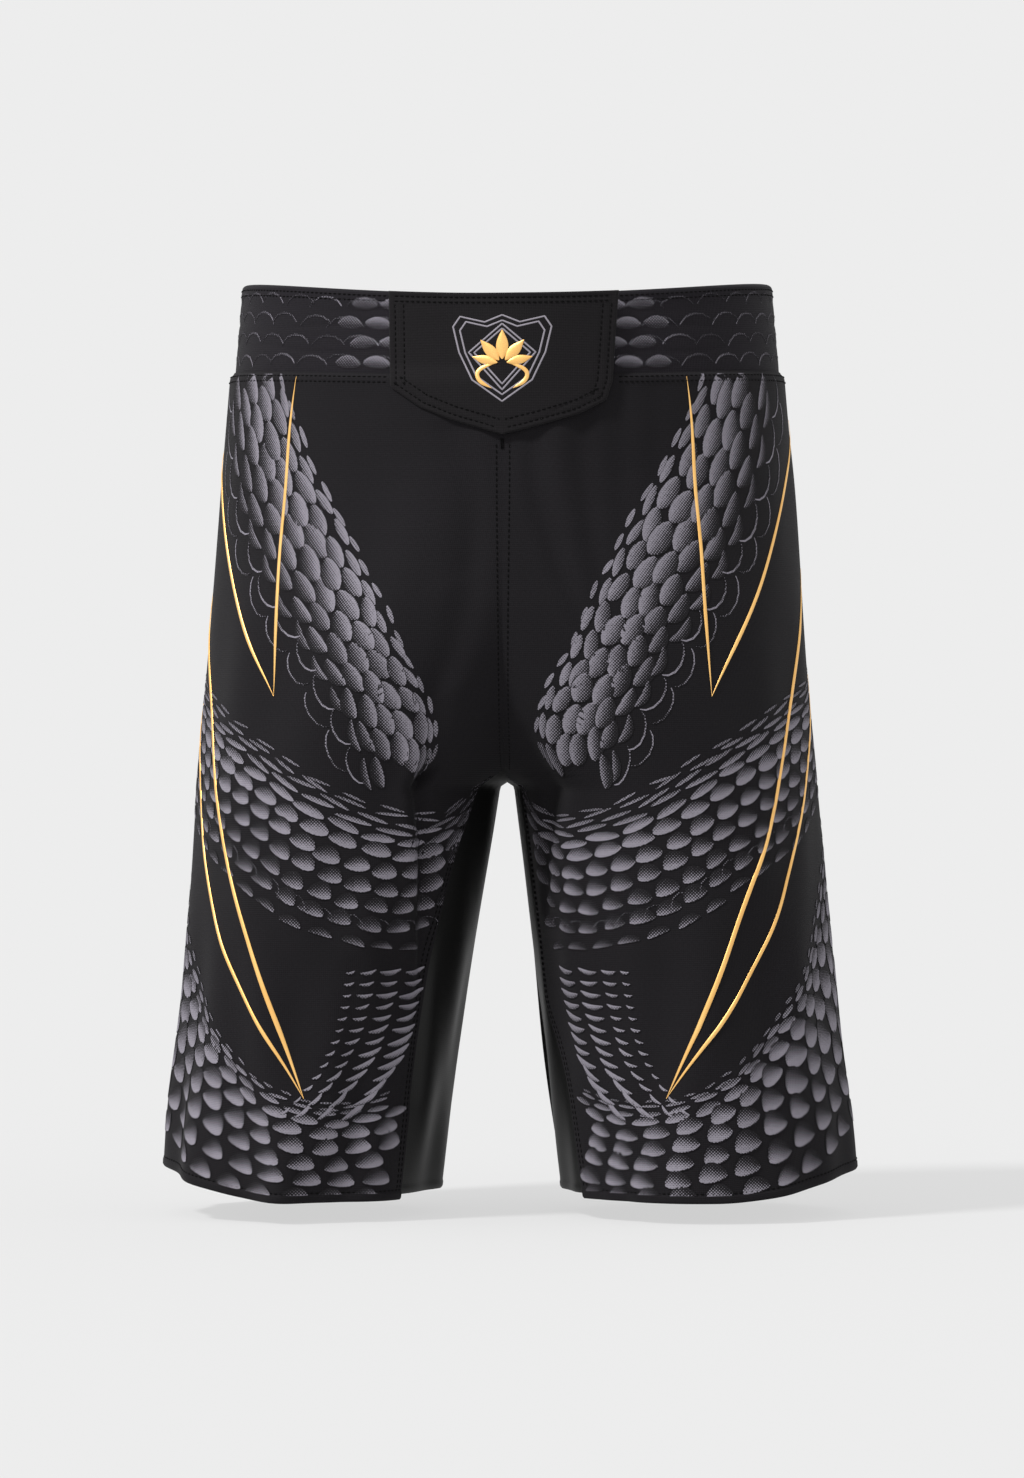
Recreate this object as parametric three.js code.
// Fight shorts with a wide waistband and a shield-shaped front closure flap.
//
// The shorts are a shell of sewn panels: on each leg a front panel, a back panel and an
// inner-leg gusset, with a turned hem inside the leg opening. The waistband has an outer
// layer folded over the top edge, a core (elastic round the back, a stiffener at the front)
// and an inner facing. The front opening has an underlap behind it and a flap over it. The
// flap is sewn down on the wearer's right and folds open on the wearer's left, where hook
// tape on its back meets loop tape on the band.
//
// Frame: millimetres, +Z up, the front faces -Y and the wearer's left is +X. The origin is
// the middle of the waist opening, level with the top edge at the hips. A "drop" is a
// distance down from there, measured along the garment before the top edge dips at the
// front and the hem lifts at the sides.

import * as THREE from "three";
import { mergeVertices } from "three/addons/utils/BufferGeometryUtils.js";

const { clamp, lerp, mapLinear, smoothstep, degToRad: rad } = THREE.MathUtils;

// ---- driving dimensions -------------------------------------------------------------

// Lengths down the garment.
const OUTSEAM = 530;
const RISE = 293;
const BAND_HEIGHT = 51;
const HIP_DROP = 180;

// Half-widths (side to side) and half-depths (front to back) of the outside.
const WAIST_HALF_WIDTH = 158;
const WAIST_HALF_DEPTH = 114;
const HIP_HALF_WIDTH = 173;
const HIP_HALF_DEPTH = 129;
const CROTCH_HALF_WIDTH = 181.5;
const CROTCH_HALF_DEPTH = 113;
const HEM_HALF_WIDTH = 205;
const HEM_HALF_DEPTH = 90;

// Gap between the legs: half of it at the crotch and at the hem.
const CROTCH_HALF_GAP = 4;
const HEM_HALF_GAP = 37.5;
// At the crotch the fullest part of the front lies this much inside the leg's middle.
const FULLNESS_INWARD = 6;
// Height over which the two leg tubes merge into one body above the crotch.
const CLEFT_HEIGHT = 190;

// How far the seat and the crotch stand behind the waist, and the hem in front of it.
const SEAT_SHIFT = 8;
const CROTCH_SHIFT = 6;
const HEM_SHIFT = -4;

// The top edge dips at the centre front, the hem lifts at the outer side.
const FRONT_DIP = 12;
const FRONT_DIP_FADE = 95;
const HEM_LIFT = 16;
const HEM_LIFT_HEIGHT = 90;

// Cloth layers.
const FABRIC = 1.2;
const FACING = 1.0;
const CORE = 1.5;
const LAYER_GAP = 0.3;
const SEAM_GAP = 0.6;
// The band is drawn in below the panels' fullness.
const BAND_INSET = 3;

// Seams: angles in degrees round the leg, from the outer side towards the inner leg.
const SIDE_SEAM_ANGLE = 6;
const GUSSET_ANGLE_TOP = 33;
const GUSSET_ANGLE_HEM = 38;
const HEM_FOLD_HEIGHT = 20;

// Front closure.
const FLAP_HALF_WIDTH_TOP = 66;
const FLAP_HALF_WIDTH_LOW = 61;
const FLAP_CHAMFER = 5;
const FLAP_SIDE_BELOW_BAND = 3;
const FLAP_POINT_BELOW_BAND = 33;
const FLAP_FABRIC = 1.2;
const FLAP_FACING = 0.8;
const FLAP_FACING_MARGIN = 1;
const FLAP_POINT_HALF_WIDTH = 1.4;
const HOOK_TAPE = 1.4;
const LOOP_TAPE = 1.5;
const TAPE_FROM = 16;
const TAPE_TO = 56;
const TAPE_MARGIN = 6.5;
const FOLD_GAP = 0.4;
const UNDERLAP_LEFT = -24;
const UNDERLAP_RIGHT = 14;
const UNDERLAP_TOP = 6;
const UNDERLAP_BELOW_FLAP = 6;

// Elastic and stiffener stop short of the band's lower seam.
const CORE_MARGIN = 5;

// Care label inside the centre back.
const LABEL_WIDTH = 34;
const LABEL_HEIGHT = 46;
const LABEL_TOP = 10;
const LABEL_THICKNESS = 0.6;

// Mesh steps.
const ROWS_TO_CROTCH = 14;
const ROWS_TO_HEM = 12;
const PANEL_COLUMNS = 12;
const GUSSET_COLUMNS = 10;
const BAND_COLUMNS = 14;
const BAND_ROWS = 4;
const BACK_COLUMNS = 32;
const LABEL_COLUMNS = 6;
const STRIP_ROWS = 5;
const STRIP_COLUMNS = 7;
const FLAP_COLUMNS = 10;
const FLAP_ROWS = 4;

// ---- derived sizes ------------------------------------------------------------------

const BAND_STACK = FABRIC + LAYER_GAP + CORE + LAYER_GAP + FACING;
const CORE_START = FABRIC + LAYER_GAP;
const FACING_START = CORE_START + CORE + LAYER_GAP;
const UNDERLAP_START = BAND_STACK + LAYER_GAP;
// Offsets of the flap's layers from the panels' outside, counted outwards.
const LOOP_OUT = BAND_INSET - LAYER_GAP - LOOP_TAPE;
const HOOK_OUT = -LOOP_OUT + LAYER_GAP + HOOK_TAPE;
const FLAP_FACING_OUT = Math.max(HOOK_OUT, LAYER_GAP) + LAYER_GAP + FLAP_FACING;
const FLAP_OUT = FLAP_FACING_OUT + LAYER_GAP + FLAP_FABRIC;
const SEWN_OUT = LAYER_GAP + FLAP_FABRIC;
// The flap's sides end just below the band and its point hangs further down.
const FLAP_SIDE_HEIGHT = BAND_HEIGHT + FLAP_SIDE_BELOW_BAND;
const FLAP_HEIGHT = BAND_HEIGHT + FLAP_POINT_BELOW_BAND;
const CHAMFER_END = FLAP_SIDE_HEIGHT + 2 * FLAP_CHAMFER;
// Both tapes lie within the band, and the underlap reaches past the flap's point.
const TAPE_HEIGHT = BAND_HEIGHT - 2 * TAPE_MARGIN;
const UNDERLAP_HEIGHT = FLAP_HEIGHT + UNDERLAP_BELOW_FLAP - UNDERLAP_TOP;
const HALF_TURN = Math.PI;

// A size down the garment as a smooth curve through [drop, value] stations: the slope at
// each station is zero at a turn and a harmonic mean elsewhere, so the curve never
// overshoots.
function smoothCurve(stations) {
  const slope = [];
  const n = stations.length;
  const rise = (i) => (stations[i + 1][1] - stations[i][1]) / (stations[i + 1][0] - stations[i][0]);
  for (let i = 0; i < n; i++) {
    const before = i > 0 ? rise(i - 1) : rise(0);
    const after = i < n - 1 ? rise(i) : rise(n - 2);
    slope.push(before * after > 0 ? (2 * before * after) / (before + after) : 0);
  }
  return (drop) => {
    let i = 0;
    while (i < n - 2 && drop > stations[i + 1][0]) i++;
    const [from, start] = stations[i];
    const [to, end] = stations[i + 1];
    const span = to - from;
    const t = (drop - from) / span;
    const t2 = t * t;
    const t3 = t2 * t;
    return (
      (2 * t3 - 3 * t2 + 1) * start +
      (t3 - 2 * t2 + t) * span * slope[i] +
      (3 * t2 - 2 * t3) * end +
      (t3 - t2) * span * slope[i + 1]
    );
  };
}

const MID_LEG_DROP = (RISE + OUTSEAM) / 2;
const middleOf = (outer, gap) => (outer + gap) / 2;

const outerCurve = smoothCurve([
  [0, WAIST_HALF_WIDTH],
  [HIP_DROP, HIP_HALF_WIDTH],
  [RISE, CROTCH_HALF_WIDTH],
  [OUTSEAM, HEM_HALF_WIDTH],
]);
const depthCurve = smoothCurve([
  [0, WAIST_HALF_DEPTH],
  [HIP_DROP, HIP_HALF_DEPTH],
  [RISE, CROTCH_HALF_DEPTH],
  [OUTSEAM, HEM_HALF_DEPTH],
]);
// The fullest point of the front and back, which moves out from the centre to mid-leg.
const middleCurve = smoothCurve([
  [0, 0],
  [RISE - CLEFT_HEIGHT, 0],
  [RISE, middleOf(CROTCH_HALF_WIDTH, CROTCH_HALF_GAP) - FULLNESS_INWARD],
  [MID_LEG_DROP, middleOf((CROTCH_HALF_WIDTH + HEM_HALF_WIDTH) / 2, (CROTCH_HALF_GAP + HEM_HALF_GAP) / 2)],
  [OUTSEAM, middleOf(HEM_HALF_WIDTH, HEM_HALF_GAP)],
]);
const shiftCurve = smoothCurve([
  [0, 0],
  [HIP_DROP, SEAT_SHIFT],
  [RISE, CROTCH_SHIFT],
  [OUTSEAM, HEM_SHIFT],
]);

// The inner edge of a leg tube. Above the crotch it runs past the centre plane, where the
// two tubes are cut off against each other.
function innerCurve(drop) {
  if (drop >= RISE) {
    return lerp(CROTCH_HALF_GAP, HEM_HALF_GAP, (drop - RISE) / (OUTSEAM - RISE));
  }
  const climb = Math.min(1, (RISE - drop) / CLEFT_HEIGHT);
  return lerp(CROTCH_HALF_GAP, -outerCurve(drop), Math.sin((climb * HALF_TURN) / 2));
}

// The horizontal section of one leg tube: two half-ellipses that share the point `middle`.
function tube(drop, inset) {
  const middle = middleCurve(drop);
  return {
    middle,
    outerRadius: outerCurve(drop) - middle - inset,
    innerRadius: middle - innerCurve(drop) - inset,
    depth: depthCurve(drop) - inset,
    shift: shiftCurve(drop),
  };
}

// How far a point sits below its drop (the front dip) or above it (the hem's lift).
function settle(drop, angle) {
  const frontness = Math.max(0, -Math.sin(angle));
  const outerness = Math.max(0, Math.cos(angle));
  const dip = FRONT_DIP * Math.exp(-drop / FRONT_DIP_FADE) * frontness * frontness;
  const hemNearness = smoothstep(drop, OUTSEAM - HEM_LIFT_HEIGHT, OUTSEAM);
  return dip - HEM_LIFT * hemNearness * outerness * outerness;
}

// A point of the garment: side is +1 for the wearer's left and -1 for the right. The angle
// is 0 at the outer side, -90 degrees at the front, +90 at the back, 180 at the inner leg.
function garmentPoint(side, drop, angle, inset) {
  const t = tube(drop, inset);
  const across = Math.cos(angle);
  const radius = across > 0 ? t.outerRadius : t.innerRadius;
  const x = t.middle + radius * across;
  const y = t.shift + t.depth * Math.sin(angle);
  return new THREE.Vector3(side * x, y, -(drop + settle(drop, angle)));
}

// The size of the angle at which a tube meets the upright plane at distance x from the centre.
function angleAtX(drop, inset, x) {
  const t = tube(drop, inset);
  const radius = x > t.middle ? t.outerRadius : t.innerRadius;
  return Math.acos(clamp((x - t.middle) / radius, -1, 1));
}

// ---- solids -------------------------------------------------------------------------

// A mesh's signed volume, negative when its faces point inwards.
function signedVolume(positions, triangles) {
  const corner = (i) => new THREE.Vector3().fromArray(positions, 3 * i);
  let six = 0;
  for (let i = 0; i < triangles.length; i += 3) {
    const [a, b, c] = [corner(triangles[i]), corner(triangles[i + 1]), corner(triangles[i + 2])];
    six += a.dot(b.cross(c));
  }
  return six / 6;
}

function closedGeometry(positions, triangles) {
  if (signedVolume(positions, triangles) < 0) triangles.reverse();
  const geometry = new THREE.BufferGeometry();
  geometry.setAttribute("position", new THREE.Float32BufferAttribute(positions, 3));
  geometry.setIndex(triangles);
  const merged = mergeVertices(geometry, 1e-3);
  merged.computeVertexNormals();
  return merged;
}

// A slab of cloth: two grids of points of the same size, joined round their edge.
function slab(outside, inside) {
  const rows = outside.length;
  const columns = outside[0].length;
  const positions = [...outside.flat(), ...inside.flat()].flatMap((p) => p.toArray());
  const at = (layer, row, column) => (layer * rows + row) * columns + column;
  const triangles = [];
  const quad = (a, b, c, d) => triangles.push(a, b, c, a, c, d);
  for (let r = 0; r < rows - 1; r++) {
    for (let c = 0; c < columns - 1; c++) {
      quad(at(0, r, c), at(0, r + 1, c), at(0, r + 1, c + 1), at(0, r, c + 1));
      quad(at(1, r, c), at(1, r, c + 1), at(1, r + 1, c + 1), at(1, r + 1, c));
    }
    quad(at(0, r, 0), at(1, r, 0), at(1, r + 1, 0), at(0, r + 1, 0));
    quad(at(0, r, columns - 1), at(0, r + 1, columns - 1), at(1, r + 1, columns - 1), at(1, r, columns - 1));
  }
  for (let c = 0; c < columns - 1; c++) {
    quad(at(0, 0, c), at(0, 0, c + 1), at(1, 0, c + 1), at(1, 0, c));
    quad(at(0, rows - 1, c), at(1, rows - 1, c), at(1, rows - 1, c + 1), at(0, rows - 1, c + 1));
  }
  return closedGeometry(positions, triangles);
}

// A bar: the same outline of points at every section. A closed bar is a ring with no ends.
function bar(sections, closed) {
  const count = sections[0].length;
  const positions = sections.flat().flatMap((p) => p.toArray());
  const triangles = [];
  const last = closed ? sections.length : sections.length - 1;
  for (let s = 0; s < last; s++) {
    const next = (s + 1) % sections.length;
    for (let k = 0; k < count; k++) {
      const after = (k + 1) % count;
      const [a, b] = [s * count + k, s * count + after];
      const [c, d] = [next * count + after, next * count + k];
      triangles.push(a, b, c, a, c, d);
    }
  }
  return { positions, triangles };
}

// The signed area of an outline, negative when it runs clockwise.
const turning = (points) => THREE.ShapeUtils.area(points.map(([x, y]) => new THREE.Vector2(x, y)));

// An open bar with its two ends filled by the outline's own triangles.
function endedBar(outline, sections) {
  const { positions, triangles } = bar(sections, false);
  const flat = outline.map(([x, y]) => new THREE.Vector2(x, y));
  const offset = (sections.length - 1) * outline.length;
  for (const [a, b, c] of THREE.ShapeUtils.triangulateShape(flat, [])) {
    const along = turning([a, b, c].map((k) => outline[k])) * turning(outline) > 0;
    const [p, q] = along ? [b, c] : [c, b];
    triangles.push(a, q, p);
    triangles.push(offset + a, offset + p, offset + q);
  }
  return closedGeometry(positions, triangles);
}

// ---- leg panels ---------------------------------------------------------------------

// The gusset's seam angle, counted from the inner leg.
function gussetAngle(drop) {
  const t = clamp((drop - RISE) / (OUTSEAM - RISE), 0, 1);
  return rad(lerp(GUSSET_ANGLE_TOP, GUSSET_ANGLE_HEM, t));
}

// The drop at which a line at a fixed angle from the inner leg reaches the centre plane.
function dropAtCentre(fromInnerLeg) {
  let high = RISE - CLEFT_HEIGHT;
  let low = RISE;
  for (let i = 0; i < 40; i++) {
    const drop = (high + low) / 2;
    const atCentre = HALF_TURN - angleAtX(drop, 0, SEAM_GAP / 2);
    if (atCentre > fromInnerLeg) high = drop;
    else low = drop;
  }
  return (high + low) / 2;
}

const CROTCH_END = dropAtCentre(rad(GUSSET_ANGLE_TOP));

function panelDrops() {
  const drops = [];
  const top = BAND_HEIGHT + SEAM_GAP;
  for (let i = 0; i < ROWS_TO_CROTCH; i++) drops.push(lerp(top, CROTCH_END, i / ROWS_TO_CROTCH));
  for (let i = 0; i <= ROWS_TO_HEM; i++) drops.push(lerp(CROTCH_END, OUTSEAM, i / ROWS_TO_HEM));
  return drops;
}

// The angle of a panel's centre-side edge: the centre seam above the crotch, the gusset
// seam below it.
function innerSeamAngle(drop, inset) {
  const clear = SEAM_GAP / 2 / (HEM_HALF_WIDTH / 2);
  const atCentre = angleAtX(drop, inset, SEAM_GAP / 2);
  return Math.min(atCentre, HALF_TURN - gussetAngle(drop)) - (drop > CROTCH_END ? clear : 0);
}

// A front panel has facing -1 and a back panel +1.
function panelGrid(side, facing, inset) {
  const clear = SEAM_GAP / 2 / WAIST_HALF_WIDTH;
  const sideSeam = rad(SIDE_SEAM_ANGLE) + facing * clear;
  return panelDrops().map((drop) => {
    const inner = facing * innerSeamAngle(drop, inset);
    return Array.from({ length: PANEL_COLUMNS + 1 }, (_, c) => {
      const angle = lerp(sideSeam, inner, c / PANEL_COLUMNS);
      return garmentPoint(side, drop, angle, inset);
    });
  });
}

function legPanel(side, facing) {
  return slab(panelGrid(side, facing, 0), panelGrid(side, facing, FABRIC));
}

// The gusset's columns run from its front seam round the inner leg to its back seam, and
// each one climbs until it meets the other leg's gusset at the centre plane.
function gussetGrid(side, inset) {
  const clear = SEAM_GAP / 2 / (HEM_HALF_WIDTH / 2);
  const rows = [];
  for (let r = 0; r <= ROWS_TO_HEM; r++) {
    const row = [];
    for (let c = 0; c <= GUSSET_COLUMNS; c++) {
      const spread = (2 * c) / GUSSET_COLUMNS - 1;
      const top = dropAtCentre(Math.abs(spread) * (rad(GUSSET_ANGLE_TOP) - clear));
      const drop = lerp(top, OUTSEAM, r / ROWS_TO_HEM);
      const fromInnerLeg = Math.abs(spread) * (gussetAngle(drop) - clear);
      const atCentre = angleAtX(drop, inset, SEAM_GAP / 2);
      const angle = Math.min(HALF_TURN - fromInnerLeg, atCentre);
      row.push(garmentPoint(side, drop, spread < 0 ? -angle : angle, inset));
    }
    rows.push(row);
  }
  return rows;
}

function innerGusset(side) {
  return slab(gussetGrid(side, 0), gussetGrid(side, FABRIC));
}

// The turned-up hem: one ring of cloth inside the leg opening, with its corners at the
// columns of the panels around it.
function hemAngles() {
  const sideSeam = rad(SIDE_SEAM_ANGLE);
  const inner = HALF_TURN - gussetAngle(OUTSEAM);
  const between = (from, to, count) =>
    Array.from({ length: count }, (_, i) => lerp(from, to, i / count));
  return [
    ...between(-inner, sideSeam, PANEL_COLUMNS),
    ...between(sideSeam, inner, PANEL_COLUMNS),
    ...between(inner, 2 * HALF_TURN - inner, GUSSET_COLUMNS),
  ];
}

function hemFold(side) {
  const start = FABRIC + 2 * LAYER_GAP;
  const outline = [
    [start, OUTSEAM],
    [start, OUTSEAM - HEM_FOLD_HEIGHT],
    [start + FACING, OUTSEAM - HEM_FOLD_HEIGHT],
    [start + FACING, OUTSEAM],
  ];
  const sections = hemAngles().map((angle) =>
    outline.map(([inset, drop]) => garmentPoint(side, drop, angle, inset)),
  );
  const { positions, triangles } = bar(sections, true);
  return closedGeometry(positions, triangles);
}

// ---- waistband ----------------------------------------------------------------------

// A length of band between two angles of the wearer's left side, mirrored for side -1.
// The outline's points are [inset behind the band's outside, drop]. Every layer has its
// corners at the same angles, so the layers stay a constant distance apart.
function bandPiece(side, outline, from, to, columns) {
  const sections = [];
  for (let i = 0; i <= columns; i++) {
    sections.push(
      outline.map(([inset, drop]) => {
        const angle = lerp(from(drop), to(drop), i / columns);
        return garmentPoint(side, drop, angle, BAND_INSET + inset);
      }),
    );
  }
  return endedBar(outline, sections);
}

const BAND_CLEAR = SEAM_GAP / 2 / WAIST_HALF_WIDTH;
const atCentreFront = (drop) => -angleAtX(drop, 0, SEAM_GAP / 2);
const atSideFront = () => rad(SIDE_SEAM_ANGLE) - BAND_CLEAR;
const atSideBack = () => rad(SIDE_SEAM_ANGLE) + BAND_CLEAR;
const atOtherSideBack = () => HALF_TURN - rad(SIDE_SEAM_ANGLE) - BAND_CLEAR;

// The drops of a wall from top to bottom, with corners at heights that all layers share.
function wallDrops(top, bottom) {
  const shared = Array.from({ length: BAND_ROWS + 2 }, (_, i) => (i * BAND_HEIGHT) / BAND_ROWS);
  return [top, ...shared.filter((drop) => drop > top && drop < bottom), bottom];
}

// A wall's outline: up its outer side and down its inner side.
function wallOutline(start, thickness, top, bottom) {
  const drops = wallDrops(top, bottom);
  const outer = drops.toReversed().map((drop) => [start, drop]);
  const inner = drops.map((drop) => [start + thickness, drop]);
  return [...outer, ...inner];
}

// The outer layer folds over the top edge and covers the layers behind it.
const BAND_OUTLINE = [
  ...wallDrops(0, BAND_HEIGHT).toReversed().map((drop) => [0, drop]),
  [BAND_STACK, 0],
  [BAND_STACK, FABRIC],
  ...wallDrops(FABRIC, BAND_HEIGHT).map((drop) => [FABRIC, drop]),
];
const CORE_OUTLINE = wallOutline(CORE_START, CORE, FABRIC + LAYER_GAP, BAND_HEIGHT - CORE_MARGIN);
const FACING_OUTLINE = wallOutline(FACING_START, FACING, FABRIC + LAYER_GAP, BAND_HEIGHT);

function frontBand(side, outline) {
  return bandPiece(side, outline, atCentreFront, atSideFront, BAND_COLUMNS);
}

function backBand(outline) {
  return bandPiece(1, outline, atSideBack, atOtherSideBack, BACK_COLUMNS);
}

// A blank label sewn inside the facing at the centre back.
function careLabel() {
  const outline = wallOutline(UNDERLAP_START, LABEL_THICKNESS, LABEL_TOP, LABEL_TOP + LABEL_HEIGHT);
  const edge = (x) => (drop) => angleAtX(drop, 0, x);
  return bandPiece(1, outline, edge(LABEL_WIDTH / 2), edge(-LABEL_WIDTH / 2), LABEL_COLUMNS);
}

// ---- front closure ------------------------------------------------------------------

// A smooth sheet across the centre front, where the two leg tubes are one ellipse.
function frontPoint(x, drop, out) {
  return garmentPoint(1, drop, -angleAtX(drop, -out, x), -out);
}

// A strip of the front between two upright lines, `out` being its outer face's offset.
function frontStrip(from, to, top, height, out, thickness) {
  const grid = (offset) =>
    Array.from({ length: STRIP_ROWS + 1 }, (_, r) =>
      Array.from({ length: STRIP_COLUMNS + 1 }, (__, c) => {
        const x = lerp(from, to, c / STRIP_COLUMNS);
        return frontPoint(x, top + (height * r) / STRIP_ROWS, offset);
      }),
    );
  return slab(grid(out), grid(out - thickness));
}

// Half the flap's width at a drop: a tapering side, a small chamfer, then the pointed end.
function flapHalfWidth(drop) {
  if (drop <= FLAP_SIDE_HEIGHT) {
    return mapLinear(drop, 0, FLAP_SIDE_HEIGHT, FLAP_HALF_WIDTH_TOP, FLAP_HALF_WIDTH_LOW);
  }
  const inner = FLAP_HALF_WIDTH_LOW - FLAP_CHAMFER;
  if (drop <= CHAMFER_END) {
    return mapLinear(drop, FLAP_SIDE_HEIGHT, CHAMFER_END, FLAP_HALF_WIDTH_LOW, inner);
  }
  return mapLinear(drop, CHAMFER_END, FLAP_HEIGHT, inner, FLAP_POINT_HALF_WIDTH);
}

// One layer of one half of the flap. Side +1 is the free half and -1 the sewn half.
function flapHalf(side, out, thickness, margin) {
  const drops = [];
  for (let i = 0; i <= FLAP_ROWS; i++) drops.push(lerp(0, FLAP_SIDE_HEIGHT, i / FLAP_ROWS));
  for (let i = 0; i <= FLAP_ROWS; i++) drops.push(lerp(CHAMFER_END, FLAP_HEIGHT, i / FLAP_ROWS));
  const squeeze = (FLAP_HEIGHT - 2 * margin) / FLAP_HEIGHT;
  const grid = (offset) =>
    drops.map((drop) => {
      const edge = Math.max(flapHalfWidth(drop) - margin, FLAP_POINT_HALF_WIDTH);
      return Array.from({ length: FLAP_COLUMNS + 1 }, (_, c) => {
        const x = lerp(FOLD_GAP / 2, edge, c / FLAP_COLUMNS);
        return frontPoint(side * x, margin + drop * squeeze, offset);
      });
    });
  return slab(grid(out), grid(out - thickness));
}

// ---- materials and assembly ---------------------------------------------------------

const finish = (color, roughness) => new THREE.MeshStandardMaterial({ color, roughness, metalness: 0 });
const SHELL = finish(0x242124, 0.85);
const PRINTED = finish(0x3c393e, 0.8);
const GUSSET = finish(0x151612, 0.6);
const BAND = finish(0x2e2b30, 0.75);
const LINING = finish(0x1d1b1d, 0.85);
const ELASTIC = finish(0x1a1a1a, 0.9);
const FLAP = finish(0x242224, 0.8);
const TAPE = finish(0x121212, 0.95);
const LABEL = finish(0xd8d6d2, 0.7);

const shorts = new THREE.Group();

function add(parent, name, geometry, material) {
  const mesh = new THREE.Mesh(geometry, material);
  mesh.name = name;
  parent.add(mesh);
}

for (const [side, hand] of [[-1, "right"], [1, "left"]]) {
  add(shorts, `front_panel_${hand}`, legPanel(side, -1), PRINTED);
  add(shorts, `back_panel_${hand}`, legPanel(side, 1), SHELL);
  add(shorts, `inner_gusset_${hand}`, innerGusset(side), GUSSET);
  add(shorts, `hem_fold_${hand}`, hemFold(side), SHELL);
  add(shorts, `waistband_front_${hand}`, frontBand(side, BAND_OUTLINE), BAND);
  add(shorts, `band_stiffener_${hand}`, frontBand(side, CORE_OUTLINE), LINING);
  add(shorts, `band_facing_front_${hand}`, frontBand(side, FACING_OUTLINE), LINING);
}
add(shorts, "waistband_back", backBand(BAND_OUTLINE), BAND);
add(shorts, "waist_elastic", backBand(CORE_OUTLINE), ELASTIC);
add(shorts, "band_facing_back", backBand(FACING_OUTLINE), LINING);
add(shorts, "care_label", careLabel(), LABEL);

const underlapOut = -(BAND_INSET + UNDERLAP_START);
const underlap = frontStrip(UNDERLAP_LEFT, UNDERLAP_RIGHT, UNDERLAP_TOP, UNDERLAP_HEIGHT, underlapOut, FABRIC);
add(shorts, "fly_underlap", underlap, SHELL);
const loopTape = frontStrip(TAPE_FROM, TAPE_TO, TAPE_MARGIN, TAPE_HEIGHT, -LOOP_OUT, LOOP_TAPE);
add(shorts, "loop_tape", loopTape, TAPE);
add(shorts, "flap_sewn_half", flapHalf(-1, SEWN_OUT, FLAP_FABRIC, 0), FLAP);

const freeFlap = new THREE.Group();
const hookTape = frontStrip(TAPE_FROM, TAPE_TO, TAPE_MARGIN, TAPE_HEIGHT, HOOK_OUT, HOOK_TAPE);
add(freeFlap, "hook_tape", hookTape, TAPE);
add(freeFlap, "flap_facing", flapHalf(1, FLAP_FACING_OUT, FLAP_FACING, FLAP_FACING_MARGIN), LINING);
add(freeFlap, "flap_free_half", flapHalf(1, FLAP_OUT, FLAP_FABRIC, 0), FLAP);
shorts.add(freeFlap);

export default shorts;
